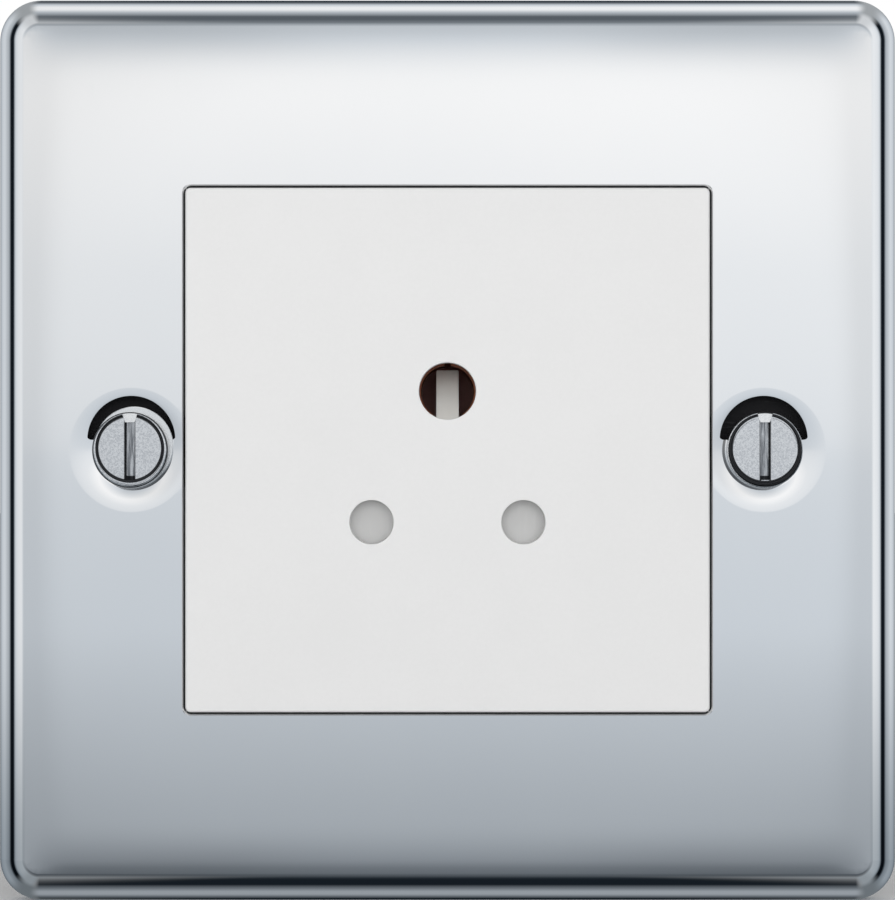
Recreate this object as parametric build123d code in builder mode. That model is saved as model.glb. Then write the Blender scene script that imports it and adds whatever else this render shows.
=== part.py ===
from build123d import *
import math
import os

# A flush wall socket for plugs with three round pins, 2 ampere size.
# All sizes are in millimetres. The origin is on the wall at the middle of the plate,
# x runs to the right, z runs up, and every height is measured from the wall towards
# the room, so the pieces inside the wall box have negative heights.

# Front plate, pressed from sheet metal
plate_width = 86.0
plate_height = 86.4
plate_rise = 4.5
plate_sheet = 1.0
plate_corner = 4.0
plate_shoulder = 2.8

# Shallow dished seats for the two fixing screws, each round an oversize hole
fixing_pitch = 60.3
seat_mouth = 6.2
seat_slope = 6.0
seat_play = 0.05
seat_hole = 4.0
seat_hole_rise = 1.1

# Moulded insert with the pin holes
insert_side = 50.0
insert_corner = 0.5
insert_edge = 0.15
insert_proud = 0.2
insert_gap = 0.2
aperture_corner = 0.8
face_wall = 2.5
body_side = 48.0
flange_lip_x = 5.0
flange_lip_z = 3.0
body_corner = 1.5
body_wall = 2.0
flange_thickness = 1.7
notch_gap = 0.85

# Pin pattern: earth above, line on the right, neutral on the left
pin_spacing = 14.48
power_pin_z = -6.88
earth_pin_z = 5.62
power_hole = 2.1
earth_hole = 2.72
power_contact_bore = 1.8
earth_contact_bore = 2.57
contact_wall = 0.6
contact_play = 0.25
contact_lip = 0.8
contact_slit = 0.6
contact_setback = 0.8

# Mounting strap, its studs, nuts and rivet
strap_sheet = 1.0
strap_inset_x = 6.0
strap_inset_z = 9.2
strap_corner = 3.0
strap_gap = 0.2
strap_hole = 2.1
strap_slot = 6.0
stud_radius = 1.5
stud_length = 7.0
stud_foot = 2.2
stud_foot_height = 0.5
stud_clear = 2.5
stud_play = 0.15
stud_point = 0.3
nut_flats = 5.5
nut_height = 2.4
rivet_x = 8.0
rivet_rise = 0.5
rivet_radius = 1.25
rivet_head = 2.1
rivet_head_height = 0.7
rivet_spread = 0.3

# Sliding shutter and its return spring
shutter_thickness = 1.4
shutter_play = 0.2
shutter_half_width = 11.0
blade_width = 6.5
blade_lap = 0.6
open_margin = 0.8
bar_width = 2.7
arm_width = 2.2
ramp_rise = 4.9
ramp_depth = 5.0
ramp_web = 1.5
ramp_play = 0.28
foot_width = 3.2
foot_thickness = 1.2
spring_radius = 1.4
spring_wire = 0.4
spring_turns = 5.5
spigot_radius = 0.9
spigot_length = 1.5
guide_width = 1.2

# Contact carrier, terminals and rear housing
parting_depth = 9.0
carrier_gap = 0.3
boss_inset = 5.0
boss_radius = 3.1
tail_sheet = 0.8
tail_width = 5.0
block_depth = 7.0
block_height = 8.0
block_edge = 0.4
power_block_x = 11.0
power_block_inset = 9.0
power_block_width = 7.0
earth_block_inset = 7.5
earth_block_left = 4.0
earth_block_right = 10.5
wire_bore = 1.75
wire_wall = 1.35
wire_channel = 2.2
block_gap = 0.1
rear_wall = 2.5
pin_pocket = 3.0
pin_pocket_depth = 4.0
rear_corner = 1.5

# Terminal screws and housing screws
terminal_screw = 1.75
terminal_head = 2.6
terminal_head_height = 1.3
terminal_lift = 1.2
terminal_access = 3.1
housing_screw = 1.5
housing_screw_length = 16.0
housing_head = 2.75
housing_head_height = 2.0
housing_head_bevel = 0.5
recess_length = 3.3
recess_width = 0.7
housing_head_sink = 0.6
housing_screw_play = 0.15
counterbore = 3.0
pilot_spare = 1.0

# Earth link from the strap to the earth terminal
link_sheet = 0.8
link_width = 5.0
link_clear = 0.1
link_margin = 3.1
link_bend = 0.5

# Fixing screws into the wall box
fixing_thread = 1.75
fixing_neck = 1.55
fixing_neck_length = 4.0
fixing_head = 3.6
fixing_head_height = 1.7
fixing_head_round = 0.6
fixing_length = 25.0
fixing_point = 0.5
slot_width = 1.0
slot_depth = 1.0

# Heights that follow from the sizes above
plate_under = plate_rise - plate_sheet
insert_face = plate_rise + insert_proud
cavity_front = insert_face - face_wall
seat_floor = fixing_head + seat_play
seat_level = plate_rise - (seat_mouth - seat_floor) * math.tan(math.radians(seat_slope / 2))
strap_front = plate_under - flange_thickness
strap_back = strap_front - strap_sheet
shutter_front = cavity_front - shutter_play
shutter_back = shutter_front - shutter_thickness
carrier_front = shutter_back - shutter_play
parting = -parting_depth
tail_back = parting - tail_sheet
block_back = tail_back - block_depth
housing_back = block_back - block_gap - rear_wall
wire_level = tail_back - wire_wall - wire_bore
contact_front = carrier_front - contact_setback

# Outlines that follow from the sizes above
flange_width = body_side + 2 * flange_lip_x
flange_height = body_side + 2 * flange_lip_z
strap_width = plate_width - 2 * strap_inset_x
strap_height = plate_height - 2 * strap_inset_z

# Places that follow from the sizes above
stud_z = flange_height / 2 + stud_clear
rivet_z = stud_z + rivet_rise
boss_offset = body_side / 2 - boss_inset
power_block_z = power_block_inset - body_side / 2
earth_block_z = body_side / 2 - earth_block_inset
power_pin_x = pin_spacing / 2
fixing_x = fixing_pitch / 2
fixing_places = [(-fixing_x, 0), (fixing_x, 0)]
power_places = [(-power_pin_x, power_pin_z), (power_pin_x, power_pin_z)]
boss_places = [(x, z) for x in (-boss_offset, boss_offset) for z in (-boss_offset, boss_offset)]
cavity_half = body_side / 2 - body_wall
blade_top = power_pin_z + power_hole + blade_lap
bar_top = power_pin_z - power_hole - open_margin
bar_bottom = bar_top - bar_width
shutter_travel = blade_top - bar_top
ramp_start = earth_pin_z - earth_hole
ramp_back = shutter_front - ramp_depth
spring_outer = spring_radius + spring_wire / 2
spring_level = shutter_front - spring_outer
link_x = rivet_x
link_leg = body_side / 2 + link_clear
earth_block_width = earth_block_left + earth_block_right
earth_block_x = (earth_block_right - earth_block_left) / 2

os.makedirs("parts", exist_ok=True)


def level(height):
    """A sketch plane parallel to the wall: local x is x, local y is z."""
    return Plane.XZ.offset(height)


def round_section(x, z):
    """A plane through an axis that runs front to back: local x is the radius, y the height."""
    return Plane(origin=(x, 0, z), x_dir=(1, 0, 0), z_dir=(0, 0, -1))


def side_section(x):
    """A plane across the socket at this x: local x is z, local y is the height."""
    return Plane(origin=(x, 0, 0), x_dir=(0, 0, 1), z_dir=(1, 0, 0))


def axis_at(x, z):
    """The front to back axis through this place."""
    return Axis((x, 0, z), (0, 1, 0))


def finish(piece, name):
    """Names the piece and writes it to its file."""
    piece.part.label = name
    export_step(piece.part, f"parts/{name}.step")


# Front plate: a shallow pressed tray with a rolled shoulder, a square aperture and
# two shallow seats. The hole in each seat is larger than the screw needs and stands
# above its middle, so a dark crescent shows over each screw head.
seat_curve = (seat_mouth - seat_floor) / math.sin(math.radians(seat_slope))


def seat_point(angle):
    """A point on the seat's curve, where it slopes by this angle."""
    turn = math.radians(angle)
    return (seat_mouth - seat_curve * math.sin(turn), plate_rise - seat_curve * (1 - math.cos(turn)))


with BuildPart() as front_plate:
    with BuildSketch(level(0)):
        RectangleRounded(plate_width, plate_height, plate_corner)
    extrude(amount=plate_rise)
    fillet(front_plate.faces().sort_by(Axis.Y)[0].edges(), plate_shoulder)
    offset(amount=-plate_sheet, openings=front_plate.faces().sort_by(Axis.Y)[-1])
    for place in fixing_places:
        with BuildSketch(round_section(*place)):
            with BuildLine():
                Polyline((0, plate_rise), (0, seat_level), seat_point(seat_slope))
                ThreePointArc(seat_point(seat_slope), seat_point(seat_slope / 2), seat_point(0))
                Line(seat_point(0), (0, plate_rise))
            make_face()
        revolve(axis=axis_at(*place), mode=Mode.SUBTRACT)
    with BuildSketch(level(0)):
        with Locations(*[(x, z + seat_hole_rise) for x, z in fixing_places]):
            Circle(seat_hole)
    extrude(amount=plate_rise, mode=Mode.SUBTRACT)
    with BuildSketch(level(0)):
        aperture = insert_side + 2 * insert_gap
        RectangleRounded(aperture, aperture, aperture_corner)
    extrude(amount=plate_rise, mode=Mode.SUBTRACT)
finish(front_plate, "front_plate")


# Plate studs: welded to the back of the plate, they pass through the strap and
# take the nuts that clamp plate, insert and strap together.
def plate_stud(z):
    with BuildPart() as stud:
        with BuildSketch(level(plate_under)):
            with Locations((0, z)):
                Circle(stud_foot)
        extrude(amount=-stud_foot_height)
        with BuildSketch(level(plate_under)):
            with Locations((0, z)):
                Circle(stud_radius)
        extrude(amount=-stud_length)
        chamfer(stud.faces().sort_by(Axis.Y)[-1].edges(), stud_point)
    return stud


def plate_nut(z):
    with BuildPart() as nut:
        with BuildSketch(level(strap_back)):
            with Locations((0, z)):
                RegularPolygon(nut_flats / 2, 6, major_radius=False)
        extrude(amount=-nut_height)
        with BuildSketch(level(strap_back)):
            with Locations((0, z)):
                Circle(stud_radius)
        extrude(amount=-nut_height, mode=Mode.SUBTRACT)
    return nut


for end, z in (("top", stud_z), ("bottom", -stud_z)):
    finish(plate_stud(z), f"plate_stud_{end}")
    finish(plate_nut(z), f"plate_nut_{end}")

# Mounting strap: flat steel frame round the insert, clamped by the studs. The right
# hand fixing hole is a slot, so that the socket can be levelled.
with BuildPart() as mounting_strap:
    with BuildSketch(level(strap_back)):
        RectangleRounded(strap_width, strap_height, strap_corner)
        strap_opening = body_side + 2 * strap_gap
        RectangleRounded(strap_opening, strap_opening, body_corner, mode=Mode.SUBTRACT)
        with Locations((-fixing_x, 0)):
            Circle(strap_hole, mode=Mode.SUBTRACT)
        with Locations((fixing_x, 0)):
            SlotOverall(strap_slot, 2 * strap_hole, mode=Mode.SUBTRACT)
        with Locations((0, stud_z), (0, -stud_z)):
            Circle(stud_radius + stud_play, mode=Mode.SUBTRACT)
        with Locations((rivet_x, rivet_z)):
            Circle(rivet_radius, mode=Mode.SUBTRACT)
    extrude(amount=strap_sheet)
finish(mounting_strap, "mounting_strap")

# Socket front: the moulded insert. A flange behind the face is trapped between plate
# and strap, and a skirt reaches back to the rear housing with four screw bosses.
with BuildPart() as socket_front:
    with BuildSketch(level(strap_front)):
        RectangleRounded(insert_side, insert_side, insert_corner)
    extrude(amount=insert_face - strap_front)
    chamfer(socket_front.faces().sort_by(Axis.Y)[0].edges(), insert_edge)
    with BuildSketch(level(strap_front)):
        Rectangle(flange_width, flange_height)
        with Locations(*fixing_places):
            Circle(seat_hole + seat_hole_rise + notch_gap, mode=Mode.SUBTRACT)
    extrude(amount=plate_under - strap_front)
    with BuildSketch(level(parting)):
        RectangleRounded(body_side, body_side, body_corner)
    extrude(amount=strap_front - parting)
    with BuildSketch(level(parting)):
        Rectangle(2 * cavity_half, 2 * cavity_half)
    extrude(amount=cavity_front - parting, mode=Mode.SUBTRACT)
    with BuildSketch(level(parting)):
        with Locations(*boss_places):
            Circle(boss_radius)
    extrude(amount=cavity_front - parting)
    with BuildSketch(level(parting)):
        with Locations(*boss_places):
            Circle(housing_screw)
    head_seat = housing_back + housing_head_sink + housing_head_height
    pilot_top = head_seat + housing_screw_length + pilot_spare
    extrude(amount=pilot_top - parting, mode=Mode.SUBTRACT)
    guide_x = shutter_half_width + ramp_play + guide_width / 2
    guide_bottom = bar_bottom - shutter_travel
    with BuildSketch(level(shutter_back)):
        with Locations(
            (-guide_x, (blade_top + guide_bottom) / 2),
            (guide_x, (blade_top + guide_bottom) / 2),
        ):
            Rectangle(guide_width, blade_top - guide_bottom)
    extrude(amount=cavity_front - shutter_back)
    with BuildSketch(level(cavity_front)):
        with Locations(*power_places):
            Circle(power_hole)
        with Locations((0, earth_pin_z)):
            Circle(earth_hole)
    extrude(amount=face_wall, mode=Mode.SUBTRACT)
finish(socket_front, "socket_front")

# Shutter: two blades cover the line and neutral holes. The longer earth pin meets the
# sloped end of the middle arm first and wedges the whole shutter down.
with BuildPart() as shutter:
    blade_x = shutter_half_width - blade_width / 2
    with BuildSketch(level(shutter_back)):
        with Locations((0, (bar_top + bar_bottom) / 2)):
            Rectangle(2 * shutter_half_width, bar_width)
        with Locations(
            (-blade_x, (blade_top + bar_bottom) / 2), (blade_x, (blade_top + bar_bottom) / 2)
        ):
            Rectangle(blade_width, blade_top - bar_bottom)
        with Locations((0, (ramp_start + bar_bottom) / 2)):
            Rectangle(arm_width, ramp_start - bar_bottom)
    extrude(amount=shutter_thickness)
    with BuildSketch(side_section(-arm_width / 2)):
        with BuildLine():
            Polyline(
                (ramp_start, shutter_front),
                (ramp_start + ramp_rise, ramp_back),
                (ramp_start + ramp_rise - ramp_web, ramp_back),
                (ramp_start, shutter_back),
                close=True,
            )
        make_face()
    extrude(amount=arm_width)
    foot_back = spring_level - spring_outer
    with BuildSketch(level(foot_back)):
        with Locations((0, bar_bottom + foot_thickness / 2)):
            Rectangle(foot_width, foot_thickness)
    extrude(amount=shutter_front - foot_back)
    with BuildSketch(Plane.XY.offset(bar_bottom)):
        with Locations((0, -spring_level)):
            Circle(spigot_radius)
    extrude(amount=-spigot_length)
finish(shutter, "shutter")

# Shutter spring: a small coil of wire between the floor of the insert's skirt and the
# foot of the shutter. The wire is drawn with six flats.
with BuildPart() as shutter_spring:
    spring_length = bar_bottom + cavity_half - spring_wire
    with BuildLine() as coil:
        Helix(
            pitch=spring_length / spring_turns,
            height=spring_length,
            radius=spring_radius,
            center=(0, -spring_level, spring_wire / 2 - cavity_half),
        )
    with BuildSketch(Plane(origin=coil.line @ 0, z_dir=coil.line % 0)):
        RegularPolygon(spring_wire / 2, 6)
    sweep(path=coil.line, is_frenet=True)
finish(shutter_spring, "shutter_spring")

# Contact carrier: the inner moulding that holds the three contacts in round barrels,
# with a slit for the shutter's ramp and a channel for its spring.
with BuildPart() as contact_cover:
    cover_half = cavity_half - carrier_gap
    notch_half = cover_half - boss_offset + boss_radius + carrier_gap
    with BuildSketch(level(parting)):
        Rectangle(2 * cover_half, 2 * cover_half)
        with GridLocations(2 * cover_half, 2 * cover_half, 2, 2):
            Rectangle(2 * notch_half, 2 * notch_half, mode=Mode.SUBTRACT)
        with Locations(*power_places):
            Circle(power_contact_bore + contact_wall + contact_play, mode=Mode.SUBTRACT)
        with Locations((0, earth_pin_z)):
            Circle(earth_contact_bore + contact_wall + contact_play, mode=Mode.SUBTRACT)
    extrude(amount=carrier_front - parting)
    slit_bottom = ramp_start - shutter_travel - ramp_play
    slit_depth = carrier_front - ramp_back + ramp_play
    with BuildSketch(level(carrier_front)):
        with Locations((0, (slit_bottom + earth_pin_z) / 2)):
            Rectangle(arm_width + 2 * ramp_play, earth_pin_z - slit_bottom)
    extrude(amount=-slit_depth, mode=Mode.SUBTRACT)
    channel_top = bar_bottom + foot_thickness + ramp_play
    with BuildSketch(level(carrier_front)):
        with Locations((0, (channel_top - cover_half) / 2)):
            Rectangle(foot_width + 2 * ramp_play, channel_top + cover_half)
    channel_depth = carrier_front - spring_level + spring_outer + ramp_play
    extrude(amount=-channel_depth, mode=Mode.SUBTRACT)
finish(contact_cover, "contact_cover")


# Contacts: slit bronze sleeves that grip the pins, each brazed to a flat tail that
# lies on its terminal block.
def power_contact(side):
    x = side * power_pin_x
    outer = power_contact_bore + contact_wall
    with BuildPart() as contact:
        with BuildSketch(level(tail_back)):
            with Locations((x, power_pin_z)):
                Circle(outer)
        extrude(amount=contact_front - tail_back)
        with BuildSketch(level(tail_back)):
            with Locations((x, power_pin_z)):
                Circle(outer + contact_lip)
            tail_end = power_block_z - block_height / 2 + block_edge
            with BuildLine():
                Polyline(
                    (x, power_pin_z + outer),
                    (side * (power_block_x + tail_width / 2), power_pin_z + outer),
                    (side * (power_block_x + tail_width / 2), tail_end),
                    (side * (power_block_x - tail_width / 2), tail_end),
                    (side * (power_block_x - tail_width / 2), power_pin_z - outer),
                    (x, power_pin_z - outer),
                    close=True,
                )
            make_face()
        extrude(amount=tail_sheet)
        with BuildSketch(level(tail_back)):
            with Locations((x, power_pin_z)):
                Circle(power_contact_bore)
        extrude(amount=contact_front - tail_back, mode=Mode.SUBTRACT)
        with BuildSketch(level(contact_front)):
            with Locations((x, power_pin_z)):
                Rectangle(3 * outer, contact_slit)
        extrude(amount=-(contact_front - parting - contact_setback), mode=Mode.SUBTRACT)
    return contact


finish(power_contact(1), "line_contact")
finish(power_contact(-1), "neutral_contact")

with BuildPart() as earth_contact:
    earth_outer = earth_contact_bore + contact_wall
    with BuildSketch(level(tail_back)):
        with Locations((0, earth_pin_z)):
            Circle(earth_outer)
    extrude(amount=contact_front - tail_back)
    with BuildSketch(level(tail_back)):
        with Locations((0, earth_pin_z)):
            Circle(earth_outer + contact_lip)
        earth_tail_end = earth_block_z + block_height / 2 - block_edge
        with Locations((0, (earth_pin_z + earth_tail_end) / 2)):
            Rectangle(tail_width, earth_tail_end - earth_pin_z)
    extrude(amount=tail_sheet)
    with BuildSketch(level(tail_back)):
        with Locations((0, earth_pin_z)):
            Circle(earth_contact_bore)
    extrude(amount=contact_front - tail_back, mode=Mode.SUBTRACT)
    with BuildSketch(level(contact_front)):
        with Locations((0, earth_pin_z - earth_outer / 2)):
            Rectangle(arm_width + 2 * ramp_play, earth_outer)
        with Locations((0, earth_pin_z + earth_outer / 2)):
            Rectangle(contact_slit, earth_outer)
    extrude(amount=-(contact_front - parting - contact_setback), mode=Mode.SUBTRACT)
finish(earth_contact, "earth_contact")


# Terminal blocks: brass bar, drilled across for the wires and tapped from behind for
# the clamping screw.
def terminal_block(x, z, width, wire_x):
    with BuildPart() as block:
        with BuildSketch(level(block_back)):
            with Locations((x, z)):
                Rectangle(width, block_height)
        extrude(amount=block_depth)
        chamfer(block.edges().filter_by(Axis.Y), block_edge)
        with BuildSketch(level(block_back)):
            with Locations((wire_x, z)):
                Circle(terminal_screw)
        extrude(amount=wire_level - block_back, mode=Mode.SUBTRACT)
        with BuildSketch(Plane.XY.offset(z - block_height / 2)):
            with Locations((wire_x, -wire_level)):
                Circle(wire_bore)
        extrude(amount=block_height, mode=Mode.SUBTRACT)
    return block


line_block = terminal_block(power_block_x, power_block_z, power_block_width, power_block_x)
neutral_block = terminal_block(-power_block_x, power_block_z, power_block_width, -power_block_x)
earth_block = terminal_block(earth_block_x, earth_block_z, earth_block_width, 0)
finish(line_block, "line_terminal")
finish(neutral_block, "neutral_terminal")
finish(earth_block, "earth_terminal")


# Terminal screws: slotted cheese heads, backed off so that the wire bores are open.
def terminal_clamp(x, z):
    seat = block_back - terminal_lift
    back = seat - terminal_head_height
    with BuildPart() as screw:
        with BuildSketch(level(seat)):
            with Locations((x, z)):
                Circle(terminal_screw)
        extrude(amount=wire_level - wire_bore - seat)
        with BuildSketch(level(back)):
            with Locations((x, z)):
                Circle(terminal_head)
        extrude(amount=terminal_head_height)
        with BuildSketch(level(back)):
            with Locations((x, z)):
                Rectangle(2 * terminal_head, slot_width)
        extrude(amount=terminal_head_height / 2, mode=Mode.SUBTRACT)
    return screw


finish(terminal_clamp(power_block_x, power_block_z), "line_terminal_screw")
finish(terminal_clamp(-power_block_x, power_block_z), "neutral_terminal_screw")
finish(terminal_clamp(0, earth_block_z), "earth_terminal_screw")

# Earth link: a bent brass strip from the back of the strap, down past the top of the
# skirt and in through the parting line to lie on the earth terminal.
with BuildPart() as earth_link:
    with BuildSketch(side_section(link_x - link_width / 2)):
        with BuildLine():
            outer_leg = link_leg + link_sheet
            toe_end = earth_block_z - block_height / 2 + block_edge
            Polyline(
                (link_leg, strap_back),
                (rivet_z + link_margin, strap_back),
                (rivet_z + link_margin, strap_back - link_sheet),
                (outer_leg, strap_back - link_sheet),
                (outer_leg, tail_back),
                (toe_end, tail_back),
                (toe_end, tail_back + link_sheet),
                (link_leg, tail_back + link_sheet),
                close=True,
            )
        make_face()
    extrude(amount=link_width)
    bends = earth_link.edges().filter_by(Axis.X)
    heel = bends.group_by(Axis.Z)[-2].sort_by(Axis.Y)
    fillet(heel[-1], link_bend)
    with BuildSketch(level(strap_back)):
        with Locations((rivet_x, rivet_z)):
            Circle(rivet_radius)
    extrude(amount=-link_sheet, mode=Mode.SUBTRACT)
finish(earth_link, "earth_link")

# Strap rivet: joins the earth link to the strap, domed in front and spread behind.
with BuildPart() as strap_rivet:
    with BuildSketch(round_section(rivet_x, rivet_z)):
        with BuildLine():
            tail_level = strap_back - link_sheet
            dome_radius = (rivet_head**2 + rivet_head_height**2) / (2 * rivet_head_height)
            dome_centre = strap_front + rivet_head_height - dome_radius
            dome_turn = math.asin(rivet_head / dome_radius) / 2
            Polyline(
                (0, strap_front + rivet_head_height),
                (0, tail_level - rivet_head_height),
                (rivet_radius + rivet_spread, tail_level - rivet_head_height),
                (rivet_head, tail_level),
                (rivet_radius, tail_level),
                (rivet_radius, strap_front),
                (rivet_head, strap_front),
            )
            ThreePointArc(
                (rivet_head, strap_front),
                (dome_radius * math.sin(dome_turn), dome_centre + dome_radius * math.cos(dome_turn)),
                (0, strap_front + rivet_head_height),
            )
        make_face()
    revolve(axis=axis_at(rivet_x, rivet_z))
finish(strap_rivet, "strap_rivet")

# Rear housing: the moulded back half. Pockets hold the blocks, channels lead the wires
# in, and round openings in the back give a screwdriver access to the clamping screws.
with BuildPart() as rear_housing:
    with BuildSketch(level(housing_back)):
        RectangleRounded(body_side, body_side, rear_corner)
    extrude(amount=parting - housing_back)
    chamfer(rear_housing.faces().sort_by(Axis.Y)[-1].edges(), block_edge)
    power_width = power_block_width + 2 * block_gap
    earth_width = earth_block_width + 2 * block_gap
    pocket_height = block_height + 2 * block_gap
    with BuildSketch(level(parting)):
        with Locations((-power_block_x, power_block_z), (power_block_x, power_block_z)):
            Rectangle(power_width, pocket_height)
        with Locations((earth_block_x, earth_block_z)):
            Rectangle(earth_width, pocket_height)
    extrude(amount=block_back - block_gap - parting, mode=Mode.SUBTRACT)
    with BuildSketch(level(parting)):
        recess_power = power_contact_bore + contact_wall + contact_lip + block_gap
        recess_earth = earth_contact_bore + contact_wall + contact_lip + block_gap
        with Locations(*power_places):
            Circle(recess_power)
        with Locations((0, earth_pin_z)):
            Circle(recess_earth)
        with Locations((0, (earth_pin_z + earth_block_z) / 2)):
            Rectangle(tail_width + 2 * block_gap, earth_block_z - earth_pin_z)
        for side in (-1, 1):
            recess_in = power_pin_x
            recess_out = power_block_x + tail_width / 2 + block_gap
            recess_top = power_pin_z + power_contact_bore + contact_wall + block_gap
            with Locations((side * (recess_in + recess_out) / 2, (recess_top + power_block_z) / 2)):
                Rectangle(recess_out - recess_in, recess_top - power_block_z)
        with Locations((link_x, (body_side / 2 + earth_block_z) / 2)):
            Rectangle(link_width + 2 * block_gap, body_side / 2 - earth_block_z)
    extrude(amount=-tail_sheet, mode=Mode.SUBTRACT)
    with BuildSketch(level(tail_back)):
        with Locations((0, earth_pin_z)):
            Circle(pin_pocket)
        with Locations(*power_places):
            Circle(power_hole)
    extrude(amount=-pin_pocket_depth, mode=Mode.SUBTRACT)
    with BuildSketch(Plane.XY.offset(-body_side / 2)):
        with Locations((-power_block_x, -wire_level), (power_block_x, -wire_level)):
            Circle(wire_channel)
    extrude(amount=body_side / 2 + power_block_z, mode=Mode.SUBTRACT)
    with BuildSketch(Plane.XY.offset(earth_block_z)):
        with Locations((0, -wire_level)):
            Circle(wire_channel)
    extrude(amount=body_side / 2 - earth_block_z, mode=Mode.SUBTRACT)
    with BuildSketch(level(housing_back)):
        with Locations(
            (-power_block_x, power_block_z), (power_block_x, power_block_z), (0, earth_block_z)
        ):
            Circle(terminal_access)
    extrude(amount=rear_wall, mode=Mode.SUBTRACT)
    with BuildSketch(level(housing_back)):
        with Locations(*boss_places):
            Circle(housing_screw + housing_screw_play)
    extrude(amount=parting - housing_back, mode=Mode.SUBTRACT)
    with BuildSketch(level(housing_back)):
        with Locations(*boss_places):
            Circle(counterbore)
    extrude(amount=head_seat - housing_back, mode=Mode.SUBTRACT)
finish(rear_housing, "rear_housing")


# Housing screws: four thread-forming screws with pan heads and cross slots, which
# draw the rear housing onto the bosses of the insert.
def case_screw(x, z):
    back = head_seat - housing_head_height
    with BuildPart() as screw:
        with BuildSketch(level(back)):
            with Locations((x, z)):
                Circle(housing_head)
        extrude(amount=housing_head_height)
        chamfer(screw.faces().sort_by(Axis.Y)[-1].edges(), housing_head_bevel)
        with BuildSketch(level(head_seat)):
            with Locations((x, z)):
                Circle(housing_screw)
        extrude(amount=housing_screw_length)
        with BuildSketch(level(back)):
            with Locations((x, z)):
                Rectangle(recess_length, recess_width)
                Rectangle(recess_width, recess_length)
        extrude(amount=housing_head_height / 2, mode=Mode.SUBTRACT)
    return screw


screw_sites = (("bottom_left", -1, -1), ("bottom_right", 1, -1), ("top_left", -1, 1), ("top_right", 1, 1))
for site, side_x, side_z in screw_sites:
    finish(case_screw(side_x * boss_offset, side_z * boss_offset), f"housing_screw_{site}")


# Fixing screws: long slotted screws, their heads seated in the dished seats. A plain
# neck passes the plate and strap, and the thread behind it reaches the wall box's lugs.
def fixing_screw(x):
    with BuildPart() as screw:
        with BuildSketch(level(seat_level)):
            with Locations((x, 0)):
                Circle(fixing_head)
        extrude(amount=fixing_head_height)
        fillet(screw.faces().sort_by(Axis.Y)[0].edges(), fixing_head_round)
        with BuildSketch(level(seat_level)):
            with Locations((x, 0)):
                Circle(fixing_neck)
        extrude(amount=-fixing_neck_length)
        with BuildSketch(level(seat_level - fixing_neck_length)):
            with Locations((x, 0)):
                Circle(fixing_thread)
        extrude(amount=fixing_neck_length - fixing_length)
        chamfer(screw.faces().sort_by(Axis.Y)[-1].edges(), fixing_point)
        with BuildSketch(level(seat_level + fixing_head_height)):
            with Locations((x, 0)):
                Rectangle(slot_width, 2 * fixing_head)
        extrude(amount=-slot_depth, mode=Mode.SUBTRACT)
    return screw


finish(fixing_screw(-fixing_x), "fixing_screw_left")
finish(fixing_screw(fixing_x), "fixing_screw_right")
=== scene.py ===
import math

import bmesh
import bpy
from mathutils import Matrix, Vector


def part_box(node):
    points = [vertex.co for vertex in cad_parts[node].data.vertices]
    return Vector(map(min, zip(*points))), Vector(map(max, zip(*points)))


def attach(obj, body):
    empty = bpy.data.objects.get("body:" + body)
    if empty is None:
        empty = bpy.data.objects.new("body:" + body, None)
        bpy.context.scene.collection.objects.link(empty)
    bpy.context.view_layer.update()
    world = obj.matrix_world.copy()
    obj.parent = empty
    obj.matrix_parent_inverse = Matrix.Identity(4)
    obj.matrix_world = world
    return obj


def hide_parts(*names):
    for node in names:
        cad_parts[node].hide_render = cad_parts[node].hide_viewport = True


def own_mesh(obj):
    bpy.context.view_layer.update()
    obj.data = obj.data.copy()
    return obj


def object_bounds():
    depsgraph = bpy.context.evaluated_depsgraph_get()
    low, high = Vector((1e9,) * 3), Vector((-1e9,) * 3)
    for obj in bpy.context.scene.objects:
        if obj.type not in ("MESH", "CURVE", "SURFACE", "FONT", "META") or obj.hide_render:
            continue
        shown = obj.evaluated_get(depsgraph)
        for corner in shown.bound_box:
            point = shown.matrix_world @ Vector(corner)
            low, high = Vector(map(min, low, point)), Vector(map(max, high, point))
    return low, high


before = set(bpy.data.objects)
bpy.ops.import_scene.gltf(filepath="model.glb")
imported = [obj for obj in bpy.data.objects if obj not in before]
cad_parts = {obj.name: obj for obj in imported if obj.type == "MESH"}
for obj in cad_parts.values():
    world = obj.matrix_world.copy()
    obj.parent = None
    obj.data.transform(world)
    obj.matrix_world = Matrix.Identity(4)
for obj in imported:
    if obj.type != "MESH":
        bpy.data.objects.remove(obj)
cad_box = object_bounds()

# Front plate. A tray pressed from 1 mm brass, polished and chromium plated. Its rim is
# rolled over all round and its face is crowned a little. The two screw seats are shallow
# dishes, each pierced by an oversize hole that is wider above the screw's middle.
plate_width = 86.0
plate_height = 86.4
plate_rise = 4.42
plate_crown = 0.08
plate_sheet = 1.0
plate_corner = 4.0
plate_shoulder = 2.8
crown_width = 5.2
crown_rings = 9
aperture = 50.4
aperture_corner = 0.8
aperture_edge = 0.12
screw_x = 30.15
seat_mouth = 6.2
seat_floor = 3.65
seat_slope = 6.0
seat_hole = 4.2
seat_hole_rise = 0.97
seat_hole_tip = 0.45
seat_bore = 3.42
seat_punch = (5, 1)


def round_edges(shape, edges, radius, segments):
    bmesh.ops.bevel(shape, geom=edges, offset=radius, offset_type="OFFSET", affect="EDGES",
                    segments=segments, profile=0.5, material=-1, clamp_overlap=False)


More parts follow.
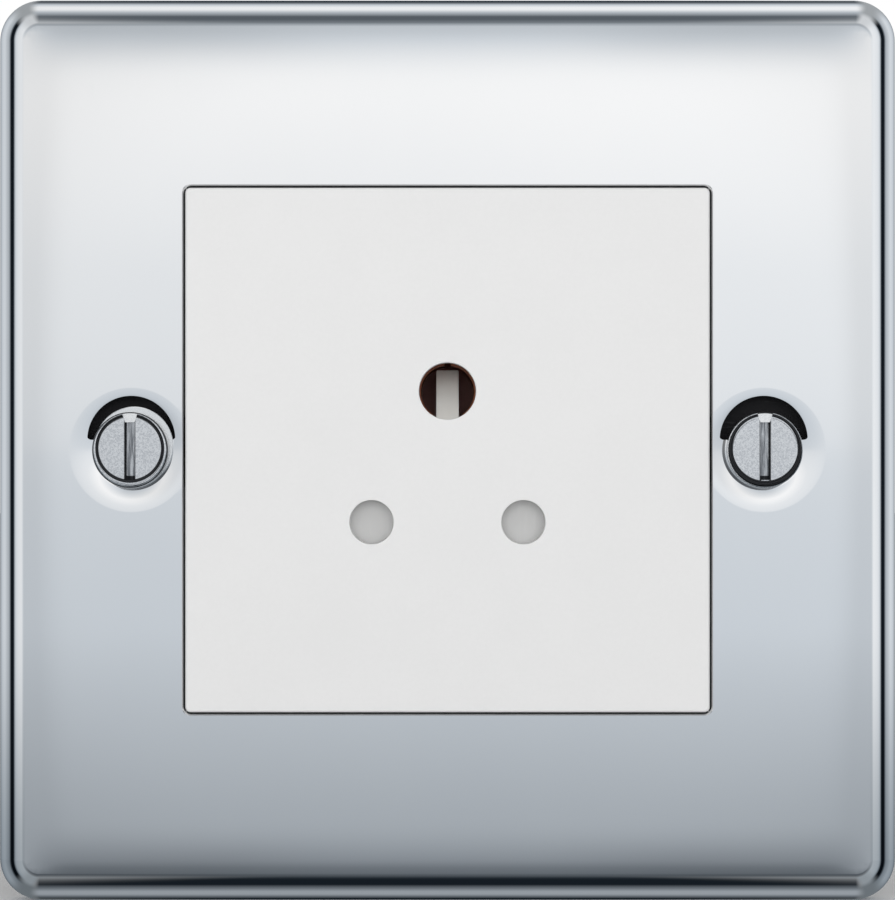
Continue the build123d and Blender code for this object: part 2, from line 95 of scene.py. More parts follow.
def tray(width, height, back, front, corner):
    """An upright block from height back to height front off the wall, its four uprights rounded."""
    shape = bmesh.new()
    bmesh.ops.create_cube(shape, size=1)
    bmesh.ops.scale(shape, vec=(width, front - back, height), verts=shape.verts)
    bmesh.ops.translate(shape, vec=(0, -(front + back) / 2, 0), verts=shape.verts)
    uprights = [e for e in shape.edges if abs(e.verts[0].co.y - e.verts[1].co.y) > 0.5 * (front - back)]
    round_edges(shape, uprights, corner, 16)
    return shape


def roll_rim(shape, front, shoulder):
    rim = [e for e in shape.edges if all(v.co.y < 0.001 - front for v in e.verts)]
    round_edges(shape, rim, shoulder, 20)


def spun(profile, x, z, steps=96):
    """A turned shape: radius and height off the wall at each point, about an axis at x, z."""
    shape = bmesh.new()
    points = [shape.verts.new((radius, -height, 0)) for radius, height in profile]
    lines = [shape.edges.new(pair) for pair in zip(points, points[1:])]
    bmesh.ops.spin(shape, geom=points + lines, cent=(0, 0, 0), axis=(0, 1, 0),
                   angle=math.tau, steps=steps, use_merge=True)
    bmesh.ops.remove_doubles(shape, verts=shape.verts, dist=0.0005)
    bmesh.ops.recalc_face_normals(shape, faces=shape.faces)
    bmesh.ops.translate(shape, vec=(x, 0, z), verts=shape.verts)
    return shape


def combine(shape, tool, operation):
    """Cuts the tool from the shape, or joins the two, and gives the result."""
    blocks = []
    for part in (shape, tool):
        mesh = bpy.data.meshes.new("work")
        part.to_mesh(mesh)
        part.free()
        blocks.append(bpy.data.objects.new("work", mesh))
        bpy.context.scene.collection.objects.link(blocks[-1])
    cut = blocks[0].modifiers.new("cut", "BOOLEAN")
    cut.operation = operation
    cut.solver = "EXACT"
    cut.object = blocks[1]
    result = bmesh.new()
    result.from_object(blocks[0], bpy.context.evaluated_depsgraph_get())
    for block in blocks:
        bpy.data.meshes.remove(block.data)
    bmesh.ops.remove_doubles(result, verts=result.verts, dist=0.002)
    bmesh.ops.triangulate(result, faces=[f for f in result.faces if len(f.verts) > 4])
    return result


def piece(name, shape, material, slot, body, *nodes):
    """Finishes a shape drawn in millimetres as a piece that stands for the CAD nodes."""
    bmesh.ops.scale(shape, vec=(0.001, 0.001, 0.001), verts=shape.verts)
    for face in shape.faces:
        face.smooth = True
        face.material_index = 0
    for edge in shape.edges:
        edge.smooth = len(edge.link_faces) == 2 and edge.calc_face_angle(0) < math.radians(35)
    mesh = bpy.data.meshes.new(name)
    shape.to_mesh(mesh)
    shape.free()
    made = bpy.data.objects.new(name, mesh)
    bpy.context.scene.collection.objects.link(made)
    made.data.materials.append(material)
    even = made.modifiers.new("even_shading", "WEIGHTED_NORMAL")
    even.keep_sharp = True
    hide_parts(*nodes)
    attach(made, body)
    return made


class Tone:
    """One socket of a shader. Expressions on tones add the Math nodes."""

    def __init__(self, tree, socket=None):
        self.tree = tree
        self.socket = socket

    def node(self, kind, settings, sockets, output=0):
        made = self.tree.nodes.new(kind)
        for name, value in settings.items():
            if name == "stops":
                ramp = made.color_ramp
                while len(ramp.elements) < len(value):
                    ramp.elements.new(0.5)
                for element, (position, colour) in zip(ramp.elements, value):
                    element.position = position
                    element.color = (*colour, 1)
            else:
                setattr(made, name, value)
        for name, value in sockets.items():
            if isinstance(value, Tone):
                self.tree.links.new(value.socket, made.inputs[name])
            else:
                made.inputs[name].default_value = value
        return Tone(self.tree, made.outputs[output])

    def side(self, output):
        return Tone(self.tree, self.socket.node.outputs[output])

    def maths(self, operation, *values):
        return self.node("ShaderNodeMath", {"operation": operation}, dict(enumerate(values)))

    def blend(self, low, high):
        """A colour between low and high, by this tone."""
        low, high = [v if isinstance(v, Tone) else (*v, 1) for v in (low, high)]
        return self.node("ShaderNodeMix", {"data_type": "RGBA"}, {0: self, 6: low, 7: high}, 2)

    def span(self, low, high):
        """0 at low, 1 at high, smooth between."""
        return self.node("ShaderNodeMapRange", {"interpolation_type": "SMOOTHSTEP"},
                         {"Value": self, "From Min": low, "From Max": high})

    def stretched(self, scale, location=(0, 0, 0)):
        return self.node("ShaderNodeMapping", {}, {"Vector": self, "Scale": scale, "Location": location})

    def noise(self, scale, detail):
        return self.node("ShaderNodeTexNoise", {}, {"Vector": self, "Scale": scale, "Detail": detail})

    def bump(self, depth, strength=1.0):
        return self.node("ShaderNodeBump", {}, {"Height": self, "Distance": depth, "Strength": strength})

    def __add__(self, other): return self.maths("ADD", self, other)
    def __radd__(self, other): return self.maths("ADD", other, self)
    def __sub__(self, other): return self.maths("SUBTRACT", self, other)
    def __rsub__(self, other): return self.maths("SUBTRACT", other, self)
    def __mul__(self, other): return self.maths("MULTIPLY", self, other)
    def __rmul__(self, other): return self.maths("MULTIPLY", other, self)
    def __truediv__(self, other): return self.maths("DIVIDE", self, other)
    def __pow__(self, other): return self.maths("POWER", self, other)


def finish(name, plain):
    """A new material, its shader and its place, which reads Object coordinates."""
    made = bpy.data.materials.new(name)
    made.use_nodes = True
    shader = made.node_tree.nodes["Principled BSDF"]
    for socket, value in plain.items():
        shader.inputs[socket].default_value = value
    place = Tone(made.node_tree).node("ShaderNodeTexCoord", {}, {}, "Object")
    return made, shader, place


def lay(shader, varied):
    for socket, tone in varied.items():
        tone.tree.links.new(tone.socket, shader.inputs[socket])


plate_chrome, shader, place = finish("plate_chrome", {"Metallic": 1.0})
wiped = place.stretched((1, 1, 0.35)).noise(70, 4)
hairlines = place.stretched((9, 1, 0.3)).noise(900, 2).span(0.62, 0.74)
hairlines = hairlines * place.noise(60, 2).span(0.5, 0.7)
lay(shader, {
    "Base Color": wiped.span(0.3, 0.75).blend((0.925, 0.93, 0.937), (0.94, 0.944, 0.948)),
    "Roughness": 0.035 + 0.03 * wiped.span(0.45, 0.75) + 0.05 * hairlines,
    "Normal": (place.noise(45, 1) + 0.02 * place.noise(700, 2)).bump(0.000004, 0.5)})

plate = tray(plate_width, plate_height, 0, plate_rise, plate_corner)
roll_rim(plate, plate_rise, plate_shoulder)
for ring in range(1, crown_rings + 1):
    inset = plate_shoulder + crown_width * ring / crown_rings
    for axis, half in ((0, plate_width / 2 - inset), (2, plate_height / 2 - inset)):
        for way in (-1, 1):
            front = [f for f in plate.faces if f.normal.y < -0.9999]
            lines = {e for f in front for e in f.edges}
            points = {v for f in front for v in f.verts}
            aim = [0, 0, 0]
            aim[axis] = way
            bmesh.ops.bisect_plane(plate, geom=[*points, *lines, *front], dist=0.0001,
                                   plane_co=[half * a for a in aim], plane_no=aim)
for vert in plate.verts:
    if vert.co.y < 0.001 - plate_rise:
        lift = plate_crown
        for half, along in ((plate_width / 2, vert.co.x), (plate_height / 2, vert.co.z)):
            inwards = (half - abs(along) - plate_shoulder) / crown_width
            lift *= 1 - (1 - min(max(inwards, 0), 1)) ** 3
        vert.co.y -= lift
hollow = tray(plate_width - 2 * plate_sheet, plate_height - 2 * plate_sheet, -1,
              plate_rise - plate_sheet, plate_corner - plate_sheet)
roll_rim(hollow, plate_rise - plate_sheet, plate_shoulder - plate_sheet)
plate = combine(plate, hollow, "DIFFERENCE")
face = plate_rise + plate_crown
seat_curve = (seat_mouth - seat_floor) / math.sin(math.radians(seat_slope))
seat = []
for step in range(1, 15):
    angle = math.radians(seat_slope) * step / 14
    seat.append((seat_mouth - seat_curve * math.sin(angle), face - seat_curve * (1 - math.cos(angle))))
seat_level = seat[-1][1]
for x in (-screw_x, screw_x):
    plate = combine(plate, spun([(0, face + 1), (seat[0][0], face + 1), *seat, (0, seat_level)], x, 0),
                    "DIFFERENCE")
    top, bottom = seat_punch
    wide = spun([(0, top), (seat_hole, top), (seat_hole, bottom), (0, bottom)], x, seat_hole_rise)
    bmesh.ops.bisect_plane(wide, geom=[*wide.verts, *wide.edges, *wide.faces], dist=0.0001,
                           plane_co=(0, 0, seat_hole_rise), plane_no=(0, 0, -1), clear_outer=True)
    bmesh.ops.holes_fill(wide, edges=[e for e in wide.edges if e.is_boundary], sides=0)
    tips = [e for e in wide.edges if abs(e.verts[0].co.y - e.verts[1].co.y) > 1 and
            all(abs(v.co.z - seat_hole_rise) < 0.001 and abs(v.co.x - x) > 0.9 * seat_hole for v in e.verts)]
    round_edges(wide, tips, seat_hole_tip, 6)
    bmesh.ops.recalc_face_normals(wide, faces=wide.faces)
    plate = combine(plate, wide, "DIFFERENCE")
    bore = spun([(0, top), (seat_bore, top), (seat_bore, bottom), (0, bottom)], x, 0)
    plate = combine(plate, bore, "DIFFERENCE")
plate = combine(plate, tray(aperture, aperture, -1, face + 1, aperture_corner), "DIFFERENCE")
flare = tray(aperture, aperture, face - aperture_edge, face + 1, aperture_corner)
for vert in flare.verts:
    if vert.co.y < -face:
        vert.co.x += math.copysign(1 + aperture_edge, vert.co.x)
        vert.co.z += math.copysign(1 + aperture_edge, vert.co.z)
plate = combine(plate, flare, "DIFFERENCE")
piece("front_plate_polished", plate, plate_chrome, "plate_chrome", "socket", "front_plate")

# Plate studs and their nuts. M3 studs are welded behind the plate above and below the
# insert. Zinc plated hexagon nuts on them clamp the plate, the insert and the strap.
stud_z = 29.5
stud_crest = 1.5
stud_root = 1.2
stud_pitch = 0.5
stud_back = -3.5
weld_bead = [(0, 3.5), (2.1, 3.5), (2.15, 3.35), (1.75, 3.0), (1.55, 2.7), (0, 2.7)]


def threaded(root, crest, pitch, front, back, x, z, steps=24):
    """A threaded rod from height front down to height back, with a bevelled tip at the back."""
    shape = bmesh.new()
    chain = [(root, 0), (crest, 0.36), (crest, 0.5), (root, 0.86), (root, 1)]
    points = [shape.verts.new((radius, -(front + pitch * (2 - along)), 0)) for radius, along in chain]
    lines = [shape.edges.new(pair) for pair in zip(points, points[1:])]
    turns = math.ceil((front - back) / pitch) + 3
    bmesh.ops.spin(shape, geom=points + lines, cent=(0, 0, 0), axis=(0, 1, 0), angle=math.tau * turns,
                   dvec=(0, pitch / steps, 0), steps=steps * turns, use_merge=False)
    bmesh.ops.remove_doubles(shape, verts=shape.verts, dist=0.001)
    for height, way in ((front, -1), (back, 1)):
        bmesh.ops.bisect_plane(shape, geom=[*shape.verts, *shape.edges, *shape.faces], dist=0.0001,
                               plane_co=(0, -height, 0), plane_no=(0, way, 0), clear_outer=True)
    bmesh.ops.holes_fill(shape, edges=[e for e in shape.edges if e.is_boundary], sides=0)
    bmesh.ops.recalc_face_normals(shape, faces=shape.faces)
    bmesh.ops.translate(shape, vec=(x, 0, z), verts=shape.verts)
    tip = 2 * (crest - root)
    envelope = spun([(0, front + 1), (crest + 1, front + 1), (crest + 1, back + tip + 1),
                     (crest - tip, back), (0, back)], x, z, 32)
    return combine(shape, envelope, "INTERSECT")


def dress(node, material, slot, body="socket", edge=0.1):
    """A copy of a CAD node with its doubles merged and its sharp edges broken, as moulding
    and tumbling leave them."""
    shape = bmesh.new()
    shape.from_mesh(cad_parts[node].data)
    bmesh.ops.scale(shape, vec=(1000, 1000, 1000), verts=shape.verts)
    bmesh.ops.remove_doubles(shape, verts=shape.verts, dist=0.001)
    bmesh.ops.dissolve_limit(shape, angle_limit=math.radians(0.3), verts=shape.verts, edges=shape.edges)
    sharp = [e for e in shape.edges if len(e.link_faces) == 2 and e.calc_face_angle(0) > math.radians(35)]
    round_edges(shape, sharp, edge, 2)
    made = piece(node + "_finished", shape, material, slot, body, node)
    for stale in [a for a in made.data.attributes if a.name == "custom_normal"]:
        made.data.attributes.remove(stale)
    return made


def metal(name, bright, dull, roughness, grain=500, stretch=(1, 1, 1)):
    """A metal that is bright where it was rubbed and dull where it wasn't."""
    made, shader, place = finish(name, {"Metallic": 1.0})
    cloud = place.noise(grain / 4, 4)
    fine = place.stretched(stretch).noise(grain * 4, 3)
    lay(shader, {
        "Base Color": (0.7 * cloud + 0.3 * fine).span(0.35, 0.68).blend(dull, bright),
        "Roughness": roughness + 0.18 * (cloud - 0.5) + 0.12 * (fine - 0.5),
        "Normal": fine.bump(0.000004)})
    return made


plated_steel = metal("plated_steel", (0.68, 0.69, 0.7), (0.5, 0.51, 0.54), 0.32)
for end, z in (("top", stud_z), ("bottom", -stud_z)):
    rod = threaded(stud_root, stud_crest, stud_pitch, 2.9, stud_back, 0, z)
    piece("plate_stud_" + end + "_threaded", combine(rod, spun(weld_bead, 0, z, 48), "UNION"),
          plated_steel, "plated_steel", "socket", "plate_stud_" + end)
    dress("plate_nut_" + end, plated_steel, "plated_steel", edge=0.12)

# Mounting strap. A flat frame blanked from 1 mm steel and blackened, with a round fixing
# hole on one side and a slotted one on the other. The studs hold it to the plate.
strap_steel, shader, place = finish("strap_steel", {"Specular IOR Level": 0.25})
scale = place.noise(220, 4)
scuffs = place.stretched((1, 1, 9)).noise(500, 3).span(0.6, 0.74)
lay(shader, {
    "Base Color": (0.6 * scuffs + 0.3 * scale).blend((0.008, 0.008, 0.009), (0.05, 0.05, 0.055)),
    "Roughness": 0.55 + 0.2 * scale - 0.2 * scuffs,
    "Normal": (scale + 0.6 * place.noise(1800, 2)).bump(0.000008)})
dress("mounting_strap", strap_steel, "strap_steel", edge=0.1)

# Insert with the pin holes. White urea moulding with a polished, very slightly uneven
# face, set into the aperture from behind with a narrow gap round it, painted shade on its flanks there.
white_moulding, shader, place = finish("white_moulding", {"Specular IOR Level": 0.45})
flow = place.noise(120, 3)
speck = place.noise(2600, 2)
clean = (0.6 * flow + 0.4 * speck).span(0.3, 0.7).blend((0.785, 0.784, 0.782), (0.803, 0.802, 0.80))
across = place.node("ShaderNodeSeparateXYZ", {}, {0: place})
out = across.maths("MAXIMUM", across.maths("ABSOLUTE", across), across.maths("ABSOLUTE", across.side("Z")))
# Painted shade: the insert's flanks behind its face, out at the aperture's edge, are painted near black for
# the shade in the gap.
gap_painted_shade = out.span(0.02495, 0.02502) * across.side("Y").span(-0.0043, -0.0038)
lay(shader, {
    "Base Color": gap_painted_shade.blend(clean, (0.03, 0.03, 0.032)),
    "Roughness": 0.3 + 0.12 * flow + 0.05 * speck,
    "Normal": (0.7 * place.noise(250, 2) + 0.3 * speck).bump(0.000004, 0.6)})
dress("socket_front", white_moulding, "white_moulding", edge=0.08)

# Shutter. Grey nylon moulding that slides down behind the face. Its two blades close the
# power holes, and the longer earth pin wedges it down by its sloped rib, painted pale as painted light.
shutter_moulding, shader, place = finish("shutter_moulding", {"Specular IOR Level": 0.4})
flow = place.noise(180, 3)
rubbed = place.stretched((3, 3, 0.8)).noise(700, 3).span(0.5, 0.8)
blades = (0.8 * flow + 0.15 * rubbed).span(0.2, 0.8).blend((0.62, 0.62, 0.615), (0.70, 0.70, 0.695))
across = place.node("ShaderNodeSeparateXYZ", {}, {0: place})
# Painted light: the rib in the upper middle is painted paler than the blades, to stand for light where it
# lies in shade behind the earth hole.
rib_light_mask = (1 - across.maths("ABSOLUTE", across).span(0.0015, 0.0025)) * across.side("Z").span(-0.002, 0.0)
rib_painted_light = flow.span(0.3, 0.7).blend((0.86, 0.84, 0.80), (0.95, 0.935, 0.90))
lay(shader, {
    "Base Color": rib_light_mask.blend(blades, rib_painted_light),
    "Roughness": 0.5 - 0.15 * rubbed,
    "Normal": (place.noise(1800, 2) + rubbed).bump(0.000005, 0.6)})
dress("shutter", shutter_moulding, "shutter_moulding", "shutter", edge=0.08)

# Shutter spring. A compression spring of 0.4 mm bright wire in the channel behind the
# face, between the guide at the bottom and the shutter's spigot.
spring_radius = 1.4
spring_wire = 0.2
spring_height = 0.4
spring_foot = -22.0
spring_top = -12.48
spring_turns = 5.5
spring_metal = metal("spring_wire", (0.66, 0.67, 0.69), (0.48, 0.49, 0.52), 0.28, 800)
coil = bmesh.new()
ring = bmesh.ops.create_circle(coil, segments=12, radius=spring_wire)["verts"]
bmesh.ops.rotate(coil, cent=(0, 0, 0), matrix=Matrix.Rotation(math.pi / 2, 3, "X"), verts=ring)
bmesh.ops.translate(coil, vec=(spring_radius, -spring_height, spring_foot + spring_wire), verts=ring)
steps = 32
climb = (spring_top - spring_foot - 2 * spring_wire) / (spring_turns * steps)
bmesh.ops.spin(coil, geom=coil.verts[:] + coil.edges[:], cent=(0, -spring_height, 0), axis=(0, 0, 1),
               angle=math.tau * spring_turns, dvec=(0, 0, climb), steps=int(steps * spring_turns),
               use_merge=False)
bmesh.ops.holes_fill(coil, edges=[e for e in coil.edges if e.is_boundary], sides=0)
bmesh.ops.recalc_face_normals(coil, faces=coil.faces)
spring = piece("shutter_spring_wound", coil, spring_metal, "spring_wire", "socket", "shutter_spring")
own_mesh(spring)

# Contact cover. The cream inner moulding that closes the front half, carries the three
# contacts and keeps them apart.
carrier_moulding, shader, place = finish("carrier_moulding", {"Specular IOR Level": 0.4})
flow = place.noise(150, 4)
lay(shader, {
    "Base Color": flow.span(0.3, 0.7).blend((0.60, 0.56, 0.47), (0.68, 0.64, 0.55)),
    "Roughness": 0.42 + 0.15 * flow,
    "Normal": place.noise(1500, 3).bump(0.000006, 0.7)})
dress("contact_cover", carrier_moulding, "carrier_moulding", edge=0.1)

# Contacts. Slit sleeves of phosphor bronze, rolled from strip with a soldering tail, and
# darkened by age where no pin rubs them.
contact_bronze = metal("contact_bronze", (0.5, 0.2, 0.11), (0.26, 0.085, 0.05), 0.5, 900)
contact_bronze.node_tree.nodes["Principled BSDF"].inputs["Metallic"].default_value = 0.7
for which in ("earth", "line", "neutral"):
    dress(which + "_contact", contact_bronze, "contact_bronze", edge=0.06)

# Terminal blocks. Pieces cut from brass bar, drilled along for the wire and tapped from
# behind for the clamping screw.
terminal_brass = metal("terminal_brass", (0.80, 0.60, 0.30), (0.58, 0.42, 0.2), 0.3, 350, (1, 1, 10))
for which in ("earth", "line", "neutral"):
    dress(which + "_terminal", terminal_brass, "terminal_brass", edge=0.12)

# Terminal screws. Turned brass, paler than the blocks, with a slot for a small screwdriver.
# Each goes into its block from behind and clamps a wire.
terminal_screw_metal = metal("terminal_screw_metal", (0.80, 0.66, 0.40), (0.62, 0.48, 0.26), 0.27, 700)
for which in ("earth", "line", "neutral"):
    dress(which + "_terminal_screw", terminal_screw_metal, "terminal_screw_metal", edge=0.1)

# Earth link and its rivet. A brass strip riveted to the strap and folded back along the
# housing to the earth terminal, so that the plate is earthed.
dress("earth_link", terminal_brass, "terminal_brass", edge=0.08)
rivet_metal = metal("rivet_metal", (0.75, 0.74, 0.72), (0.55, 0.54, 0.52), 0.35, 600)
dress("strap_rivet", rivet_metal, "rivet_metal", edge=0.06)

# Rear housing. Off white moulding with a matt skin, channels for the wires and round
# openings over the terminal screws. It is coloured reddish brown in a disc behind the earth
# sleeve, where it shows through the earth hole.
earth_rise = 5.62
brown_patch_radius = 3.2
brown_patch_back = 14.2
rear_moulding, shader, place = finish("rear_moulding", {"Specular IOR Level": 0.4})
flow = place.noise(90, 4)
spark = place.node("ShaderNodeTexVoronoi", {"feature": "SMOOTH_F1"}, {"Vector": place, "Scale": 3200.0})
across = place.stretched((1000, 1000, 1000), (0, 0, -earth_rise))
across = across.node("ShaderNodeSeparateXYZ", {}, {0: across})
reach = (across * across + across.side("Z") * across.side("Z")) ** 0.5
# brown_patch: a reddish brown disc behind the earth sleeve, where the housing shows through the earth hole.
brown_patch = 1 - reach.span(brown_patch_radius - 0.3, brown_patch_radius)
brown_patch = brown_patch * (1 - across.side("Y").span(brown_patch_back, brown_patch_back + 0.2))
moulded = (0.7 * flow + 0.3 * spark).span(0.2, 0.8).blend((0.70, 0.69, 0.655), (0.755, 0.745, 0.715))
lay(shader, {
    "Base Color": brown_patch.blend(moulded, (0.56, 0.32, 0.3)),
    "Roughness": 0.5 + 0.2 * flow,
    "Normal": (spark + 0.5 * place.noise(900, 2)).bump(0.00002, 0.5)})
dress("rear_housing", rear_moulding, "rear_moulding", edge=0.12)

# Housing screws. Zinc plated pan head screws, one in each corner, that go in from behind and
# hold the two halves of the case together.
for end in ("top_left", "top_right", "bottom_left", "bottom_right"):
    dress("housing_screw_" + end, plated_steel, "plated_steel", edge=0.1)

# Fixing screws. Turned nickel plated screws with a rounded rim and a slot. They sit in the
# dished seats, the left one on a thin washer that has slipped upwards, and their M3.5
# threads reach back to the lugs of the wall box.
fixing_head = 3.6
fixing_front = -1000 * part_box("fixing_screw_left")[0][1]
fixing_tip = -1000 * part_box("fixing_screw_left")[1][1]
fixing_flat = 3.06
fixing_round = 0.28
fixing_neck = 1.55
fixing_neck_back = seat_level - 4.0
fixing_root = 1.38
fixing_crest = 1.75
fixing_pitch = 0.6
slot_width = 1.0
slot_ends = (-2.85, 2.63)
slot_deep = 1.0
mouth_width = 0.92
mouth_deep = 0.4
mouth_end = 4.5
mouth_flare = 1.05
mouth_fall = 0.09
washer_radius = 3.73
washer_sheet = 0.3
washer_edge = 0.05
washer_shift = (0.28, 0.4)
# Side, place, radii of the painted shade ring over the groove round the face, and 1 where the rim is painted
# dark too, as painted shadow.
screw_painted_shade = (("left", -screw_x, (2.94, 3.3), 1), ("right", screw_x, (3.06, 4.2), 0))

for side, x, groove, dark_rim in screw_painted_shade:
    made, shader, place = finish("fixing_screw_nickel_" + side, {"Metallic": 1.0})
    about = place.stretched((1000, 1000, 1000), (-x, 0, 0))
    across = about.node("ShaderNodeSeparateXYZ", {}, {0: about})
    out = across.maths("ABSOLUTE", across)
    depth = fixing_front + across.side("Y")
    up = across.side("Z")
    radius = (across * across + up * up) ** 0.5
    around = (across * across + (up - 0.17) * (up - 0.17)) ** 0.5
    lathe = radius.node("ShaderNodeCombineXYZ", {}, {0: radius * 0.03, 1: across.side("Y"),
                                                     2: 0.25 * place.noise(300, 1)}).noise(900, 3)
    grain = place.noise(7500, 2).span(0.3, 0.7)
    # sunk: the slot's floor.
    sunk = depth.span(0.8, 0.95) * (1 - out.span(0.47, 0.5)) * (1 - radius.span(3.3, 3.4))
    scored = place.stretched((5, 1, 0.35)).noise(1500, 3).span(0.35, 0.65)
    lit = up.span(2.6, 2.66) * depth.span(0.12, 0.25)
    lit = lit * (1 - depth.span(0.55, 0.65)) * (1 - radius.span(3.45, 3.5))
    edge = radius.span(3.47, 3.53)
    # ring: painted shade and painted dark reflection in a ring over the groove round the face, on the right
    # over the rounding too, sparing the rim's front.
    ring = around.span(groove[0], groove[0] + 0.05) * (1 - around.span(groove[1] - 0.05, groove[1]))
    ring = ring * (1 - edge * (1 - depth.span(0.3, 0.4)))
    # slot_edge_shade: painted shade along the slot's edges.
    slot_edge_shade = out.span(0.35, 0.42) * (1 - out.span(0.5, 0.58)) * (1 - radius.span(2.9, 3.0))
    # painted_dark: near black painted shade from the ring, the slot's edges, the rim where dark_rim is 1
    # (painted shadow at the head's edge) and the slot floor except its lower end. It stops behind the head
    # and under lit, the painted highlight.
    painted_dark = ring + slot_edge_shade + dark_rim * edge + sunk * (1 - up.span(-2.5, -2.4))
    painted_dark = painted_dark.maths("MINIMUM", painted_dark, 1.0) * (1 - depth.span(1.15, 1.3)) * (1 - lit)
    bright = (0.4 * lathe + 0.6 * grain).span(0.2, 0.8).blend((0.66, 0.67, 0.69), (0.96, 0.965, 0.975))
    bright = depth.span(1.1, 1.2).blend(bright, (0.98, 0.98, 0.98))
    floor_metal = scored.blend((0.3, 0.31, 0.33), (0.85, 0.86, 0.88))
    lay(shader, {
        "Base Color": (0.96 * painted_dark).blend(lit.blend(sunk.blend(bright, floor_metal), (0.99, 0.99, 0.99)),
                                          (0.01, 0.01, 0.012)),
        "Roughness": 0.12 + 0.1 * lathe + 0.08 * grain + 0.1 * sunk,
        "Normal": (lathe + 0.4 * grain).bump(0.000002, 0.5)})
    round_face = [(0, fixing_front), (fixing_flat, fixing_front), (fixing_flat + 0.06, fixing_front - 0.05),
                  (fixing_flat + 0.16, fixing_front - 0.05), (fixing_flat + 0.2, fixing_front - 0.02)]
    for step in range(9):
        angle = math.pi / 2 * step / 8
        round_face.append((fixing_head - fixing_round * (1 - math.sin(angle)),
                           fixing_front - fixing_round * (1 - math.cos(angle))))
    head = spun([*round_face, (fixing_head, seat_level), (fixing_neck, seat_level),
                 (fixing_neck, fixing_neck_back - 0.2), (0, fixing_neck_back - 0.2)], x, 0)
    for width, low, high, deep in ((slot_width, *slot_ends, slot_deep),
                                   (mouth_width, slot_ends[1], mouth_end, mouth_deep)):
        saw = bmesh.new()
        bmesh.ops.create_cube(saw, size=1)
        bmesh.ops.scale(saw, vec=(width, 2 * deep, high - low), verts=saw.verts)
        bmesh.ops.translate(saw, vec=(x, -fixing_front, (low + high) / 2), verts=saw.verts)
        for vert in saw.verts:
            if vert.co.z > fixing_head:
                vert.co.x = x + math.copysign(mouth_flare, vert.co.x - x)
                vert.co.y += mouth_fall if vert.co.y > -fixing_front else 0
        head = combine(head, saw, "DIFFERENCE")
    if side == "left":
        top = seat_level + washer_sheet
        washer = spun([(0, top), (washer_radius - washer_edge, top), (washer_radius, top - washer_edge),
                       (washer_radius, seat_level), (0, seat_level)],
                      x + washer_shift[0], washer_shift[1])
        head = combine(head, washer, "UNION")
    shank = threaded(fixing_root, fixing_crest, fixing_pitch, fixing_neck_back, fixing_tip, x, 0)
    piece("fixing_screw_" + side + "_turned", combine(head, shank, "UNION"), made, "fixing_screw_nickel",
          "socket", "fixing_screw_" + side)

# Floor, studio and camera. The socket stands on a pale floor in a white studio, whose
# walls shade off to grey and black cards that the polished plate mirrors. Three wide soft
# lamps light the mouldings evenly, and the camera looks straight at the face.
floor = bmesh.new()
bmesh.ops.create_grid(floor, x_segments=1, y_segments=1, size=2)
bmesh.ops.translate(floor, vec=(0, 0, cad_box[0][2]), verts=floor.verts)
floor_mesh = bpy.data.meshes.new("studio_floor")
floor.to_mesh(floor_mesh)
floor.free()
ground = bpy.data.objects.new("studio_floor", floor_mesh)
bpy.context.scene.collection.objects.link(ground)
pale, shader, place = finish("pale_floor", {"Roughness": 0.9})
lay(shader, {"Base Color": place.noise(8, 2).blend((0.86, 0.86, 0.86), (0.88, 0.88, 0.88))})
ground.data.materials.append(pale)
ground.visible_glossy = False

chrome_share = 0.937
studio_above = [(0, 0.85), (3, 0.9), (6, 0.96), (10, 0.82), (14, 0.68), (22, 0.48), (35, 0.36), (47, 0.36),
                (66, 0.72), (80, 0.92), (92, 0.93), (108, 0.8), (126, 0.37), (140, 0.25)]
studio_below = [(0, 0.85), (3, 0.8), (6, 0.67), (10, 0.54), (12, 0.38), (24, 0.17), (31, 0.11), (52, 0.11),
                (70, 0.44), (86, 0.6), (102, 0.6), (122, 0.38), (140, 0.1)]
studio_beside = [(0, 0.85), (16, 0.85), (26, 0.9), (40, 0.88), (49, 0.83), (55, 0.55), (58, 0.11),
                 (70, 0.05), (75, 0.38), (80, 0.66), (106, 0.83), (125, 0.8), (160, 0.55)]


def studio_stops(tones):
    """Ramp stops for wall tones by degrees from the camera's axis, darker ones a little bluer."""
    stops = []
    for angle, tone in tones:
        cool = min(0.025, 0.15 * max(0, 0.965 - tone), tone)
        shades = (tone - cool, tone, tone + cool)
        linear = [((shade + 0.055) / 1.055) ** 2.4 / chrome_share for shade in shades]
        stops.append(((angle / 180) ** 0.5, linear))
    return stops


studio = bpy.data.worlds.new("studio")
bpy.context.scene.world = studio
studio.use_nodes = True
sky = Tone(studio.node_tree)
compass = sky.node("ShaderNodeTexCoord", {}, {}, "Generated")
sideways = compass.node("ShaderNodeSeparateXYZ", {}, {0: compass})
rise = sideways.side("Z")
away = (0 - sideways.side("Y")).maths("ARCCOSINE", 0 - sideways.side("Y"))
spread = (sideways * sideways + rise * rise + 0.000001) ** 0.5
upright = rise.maths("ABSOLUTE", rise) / spread
level = sideways.maths("ABSOLUTE", sideways) / spread
turn = (away * upright / math.pi) ** 0.5
above = turn.node("ShaderNodeValToRGB", {"stops": studio_stops(studio_above)}, {0: turn})
below = turn.node("ShaderNodeValToRGB", {"stops": studio_stops(studio_below)}, {0: turn})
walls = rise.maths("GREATER_THAN", rise, 0.0).blend(below, above)
turn = (away / math.pi) ** 0.5
beside = turn.node("ShaderNodeValToRGB", {"stops": studio_stops(studio_beside)}, {0: turn})
corners = away.span(math.radians(50), math.radians(75)).blend((0.62, 0.64, 0.66), (0.35, 0.37, 0.385))
beside = upright.span(0.55, 0.85).blend(beside, corners)
flank = level.span(0.12, 0.42)
walls = (flank * away.span(math.radians(15), math.radians(25))).blend(walls, beside)
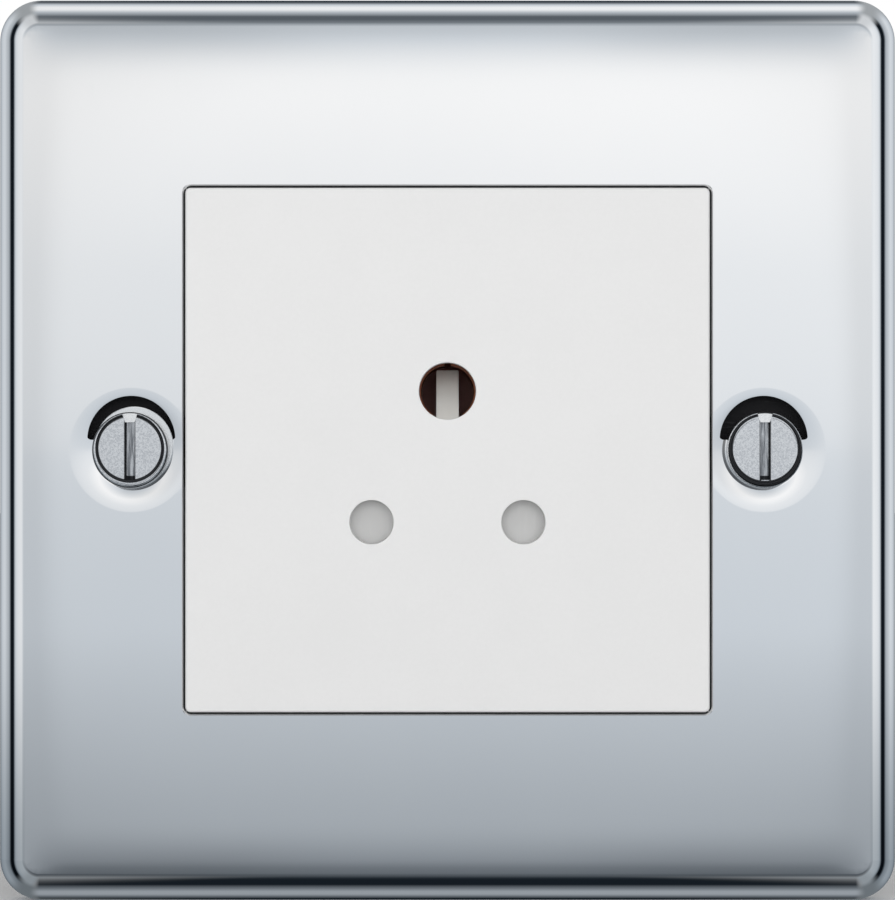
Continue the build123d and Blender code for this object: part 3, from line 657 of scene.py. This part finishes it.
low = away.span(math.radians(14), math.radians(22)) * (1 - rise.span(-0.13, -0.045)) * level.span(0.1, 0.4)
walls = walls.node("ShaderNodeVectorMath", {"operation": "MULTIPLY"},
                   {0: walls, 1: low.blend((1, 1, 1), (0.43, 0.465, 0.49))})
lean = 1 + 0.3 * sideways.maths("MINIMUM", sideways.maths("MAXIMUM", sideways, -0.13), 0.13)
dip = 0.12 * flank * away.span(math.radians(6.5), math.radians(11)) * (
    1 - away.span(math.radians(15), math.radians(25)))
walls = walls.node("ShaderNodeVectorMath", {"operation": "SCALE"}, {0: walls, "Scale": lean * (1 - dip)})
path = sky.node("ShaderNodeLightPath", {}, {}, "Is Camera Ray")
mirrored = path.side("Is Glossy Ray")
plain_light = mirrored.blend((0.48, 0.48, 0.48), walls)
seen = path.maths("MAXIMUM", path, path.side("Is Transmission Ray"))
light = seen.blend(plain_light, (1, 1, 1))
background = studio.node_tree.nodes["Background"]
studio.node_tree.links.new(light.socket, background.inputs["Color"])
background.inputs["Strength"].default_value = 1.0

for name, x, z, power in (("soft_lamp_left", -0.5, 0.3, 0.95), ("soft_lamp_right", 0.5, 0.35, 1.05),
                          ("soft_lamp_front", 0.0, -0.08, 4.0)):
    lamp = bpy.data.lights.new(name, "AREA")
    lamp.shape = "RECTANGLE"
    lamp.size = 0.6
    lamp.size_y = 0.6
    lamp.energy = power
    holder = bpy.data.objects.new(name, lamp)
    bpy.context.scene.collection.objects.link(holder)
    holder.location = (x, -0.7, z)
    holder.rotation_euler = (-holder.location).to_track_quat("-Z", "Y").to_euler()
    holder.visible_glossy = False

camera_away = 330
view_height = 85.8
view = bpy.data.cameras.new("front_view")
view.sensor_fit = "VERTICAL"
view.sensor_height = 36
view.lens = 36 * (camera_away - face) / view_height
view.clip_start = 0.01
camera = bpy.data.objects.new("front_view", view)
bpy.context.scene.collection.objects.link(camera)
camera.location = (0, -0.001 * camera_away, 0)
camera.rotation_euler = (math.pi / 2, 0, 0)
bpy.context.scene.camera = camera
bpy.context.scene.view_settings.view_transform = "Standard"
